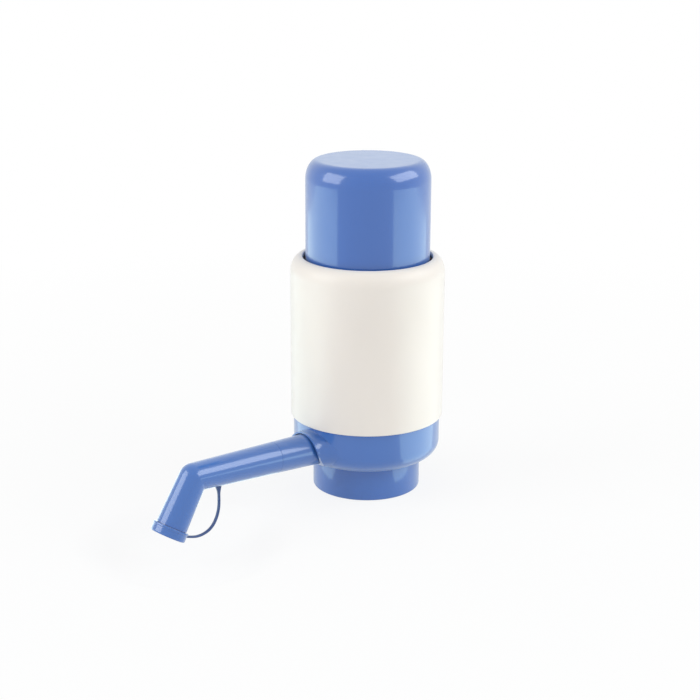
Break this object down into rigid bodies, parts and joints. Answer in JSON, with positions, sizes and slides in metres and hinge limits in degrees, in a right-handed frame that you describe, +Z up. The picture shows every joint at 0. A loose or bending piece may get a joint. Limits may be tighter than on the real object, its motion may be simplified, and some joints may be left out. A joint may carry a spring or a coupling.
{
  "type": "water jug hand pump",
  "caption": "Press-down hand pump for a large water bottle: telescoping cap and bellows in a round sleeve, turning neck collar, and a turning spout with an elbow and a tethered cap.",
  "frame": {"origin": "middle of the neck collar's lower rim, where the bottle's neck enters", "axes": "+Z up along the pump's axis; the spout points along -X, in the XZ plane"},
  "size_m": [0.194, 0.087, 0.19],
  "materials": {
    "blue_cap": "smooth glossy moulding",
    "blue_base": "smooth glossy moulding",
    "blue_spout": "smooth satin gloss moulding",
    "ivory_sleeve": "smooth satin moulding",
    "soft_blue": "flexible, satin",
    "natural_plastic": "natural, uncoloured",
    "bellows_skin": "blow moulded, waxy",
    "seal_rubber": "silicone, matte",
    "steel": "plain zinc plated"
  },
  "bodies": {
    "housing": {"base_housing": "blue_base", "body_sleeve": "ivory_sleeve", "valve_body": "natural_plastic", "plate_gasket": "seal_rubber", "valve_plate": "natural_plastic", "outlet_valve": "seal_rubber", "bellows_clamp_ring": "natural_plastic", "plate_screws": "steel", "riser_elbow": "natural_plastic", "riser_washer": "seal_rubber", "spout_oring": "seal_rubber", "bellows": "bellows_skin", "neck_seal": "seal_rubber"},
    "press": {"press_cap": "blue_cap", "cap_plate": "natural_plastic", "inlet_valve": "seal_rubber", "cap_screws": "steel"},
    "collar": {"neck_collar": "blue_base"},
    "spout": {"spout_stub": "blue_spout", "spout_clip": "steel", "spout_arm": "blue_spout", "cap_tether": "soft_blue"},
    "spout_cap": {"spout_cap": "blue_spout"}
  },
  "joints": [
    {"name": "press_slide", "type": "slide", "parent": "housing", "child": "press", "axis": [0, 0, -1], "range_m": [0, 0.042], "stiffness_N_per_m": 320, "springref_m": -0.012, "deforming": ["bellows"]},
    {"name": "collar_turn", "type": "hinge", "parent": "housing", "child": "collar", "pos_m": [0, 0, 0], "axis": [0, 0, 1], "continuous": true},
    {"name": "spout_turn", "type": "hinge", "parent": "housing", "child": "spout", "pos_m": [0, 0, 0.02852], "axis": [-0.9986, 0, 0.0523], "continuous": true},
    {"name": "spout_cap_pull", "type": "slide", "parent": "spout", "child": "spout_cap", "axis": [-0.5299, 0, -0.848], "range_m": [0, 0.008], "deforming": ["cap_tether"]}
  ]
}
